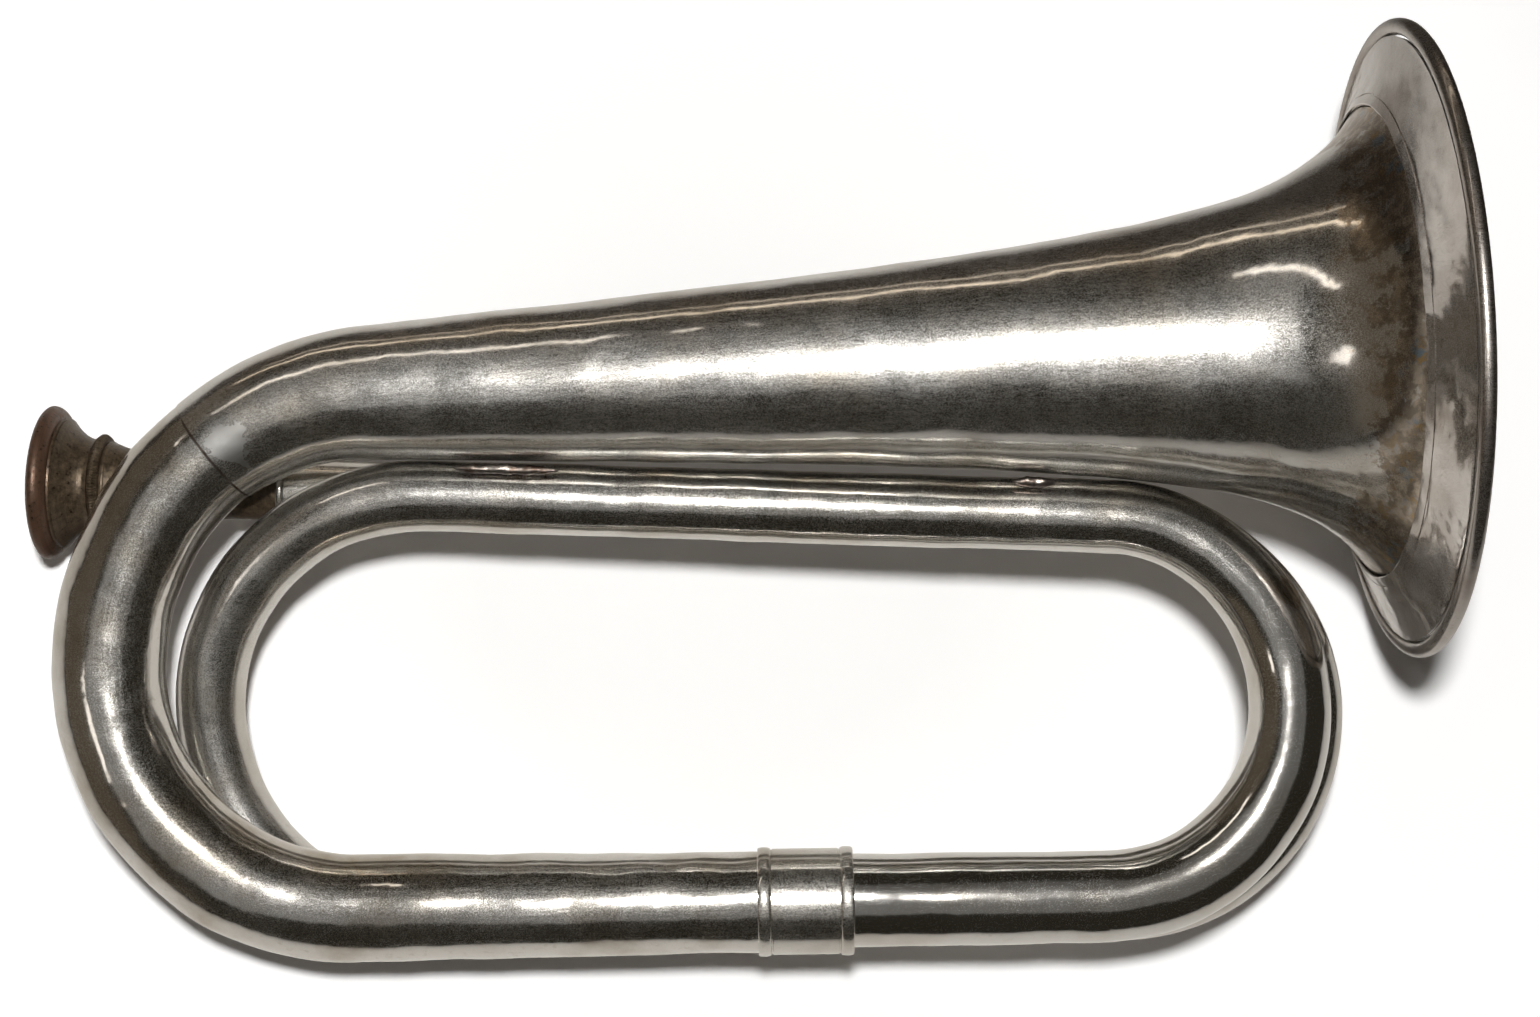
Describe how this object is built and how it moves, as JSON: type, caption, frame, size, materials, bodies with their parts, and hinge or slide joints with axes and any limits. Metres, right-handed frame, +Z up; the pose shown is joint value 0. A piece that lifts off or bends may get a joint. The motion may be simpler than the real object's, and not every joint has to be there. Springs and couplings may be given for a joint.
{
  "type": "bugle",
  "caption": "Valveless coiled bugle of silver-plated brass tube with a flared, garlanded bell and a pull-out dark bronze cup mouthpiece, lying on its side.",
  "frame": {"origin": "on the ground, under the middle of the instrument's bounding box, as it lies on its side", "axes": "+X from the mouthpiece towards the bell mouth, +Y across the coil from the bottom runs to the bell, +Z up"},
  "size_m": [0.2686, 0.1748, 0.1198],
  "materials": {
    "silver_plate": "polished silver plate on brass, lightly tarnished and scratched",
    "worn_silver_plate": "silver plate on brass, worn and smudged to a warmer grey",
    "soft_solder": "dull grey-brown soft solder with flux stains",
    "dark_bronze": "dark brown patinated bronze, rubbed to copper at the rim"
  },
  "bodies": {
    "horn": {"bell": "silver_plate", "bell_bow": "silver_plate", "bell_branch": "silver_plate", "bell_solder_far": "soft_solder", "bell_solder_near": "soft_solder", "bell_stem": "silver_plate", "bottom_ferrule": "worn_silver_plate", "bottom_tube": "silver_plate", "front_right_bow": "silver_plate", "garland": "worn_silver_plate", "left_inner_bow": "silver_plate", "mouthpipe": "silver_plate", "mouthpipe_solder": "soft_solder", "rear_bottom_tube": "silver_plate", "rear_right_bow": "silver_plate", "rear_solder_left": "soft_solder", "rear_solder_right": "soft_solder", "receiver_ring": "worn_silver_plate", "receiver_sleeve": "worn_silver_plate", "rim_wire": "silver_plate", "top_tube": "silver_plate"},
    "mouthpiece": {"mouthpiece_cup": "dark_bronze", "mouthpiece_milled_ring": "dark_bronze", "mouthpiece_shank": "dark_bronze"}
  },
  "joints": [
    {"name": "mouthpiece_pull", "type": "slide", "parent": "horn", "child": "mouthpiece", "axis": [-0.9952, 0.0464, -0.0866], "range_m": [0, 0.02]}
  ]
}
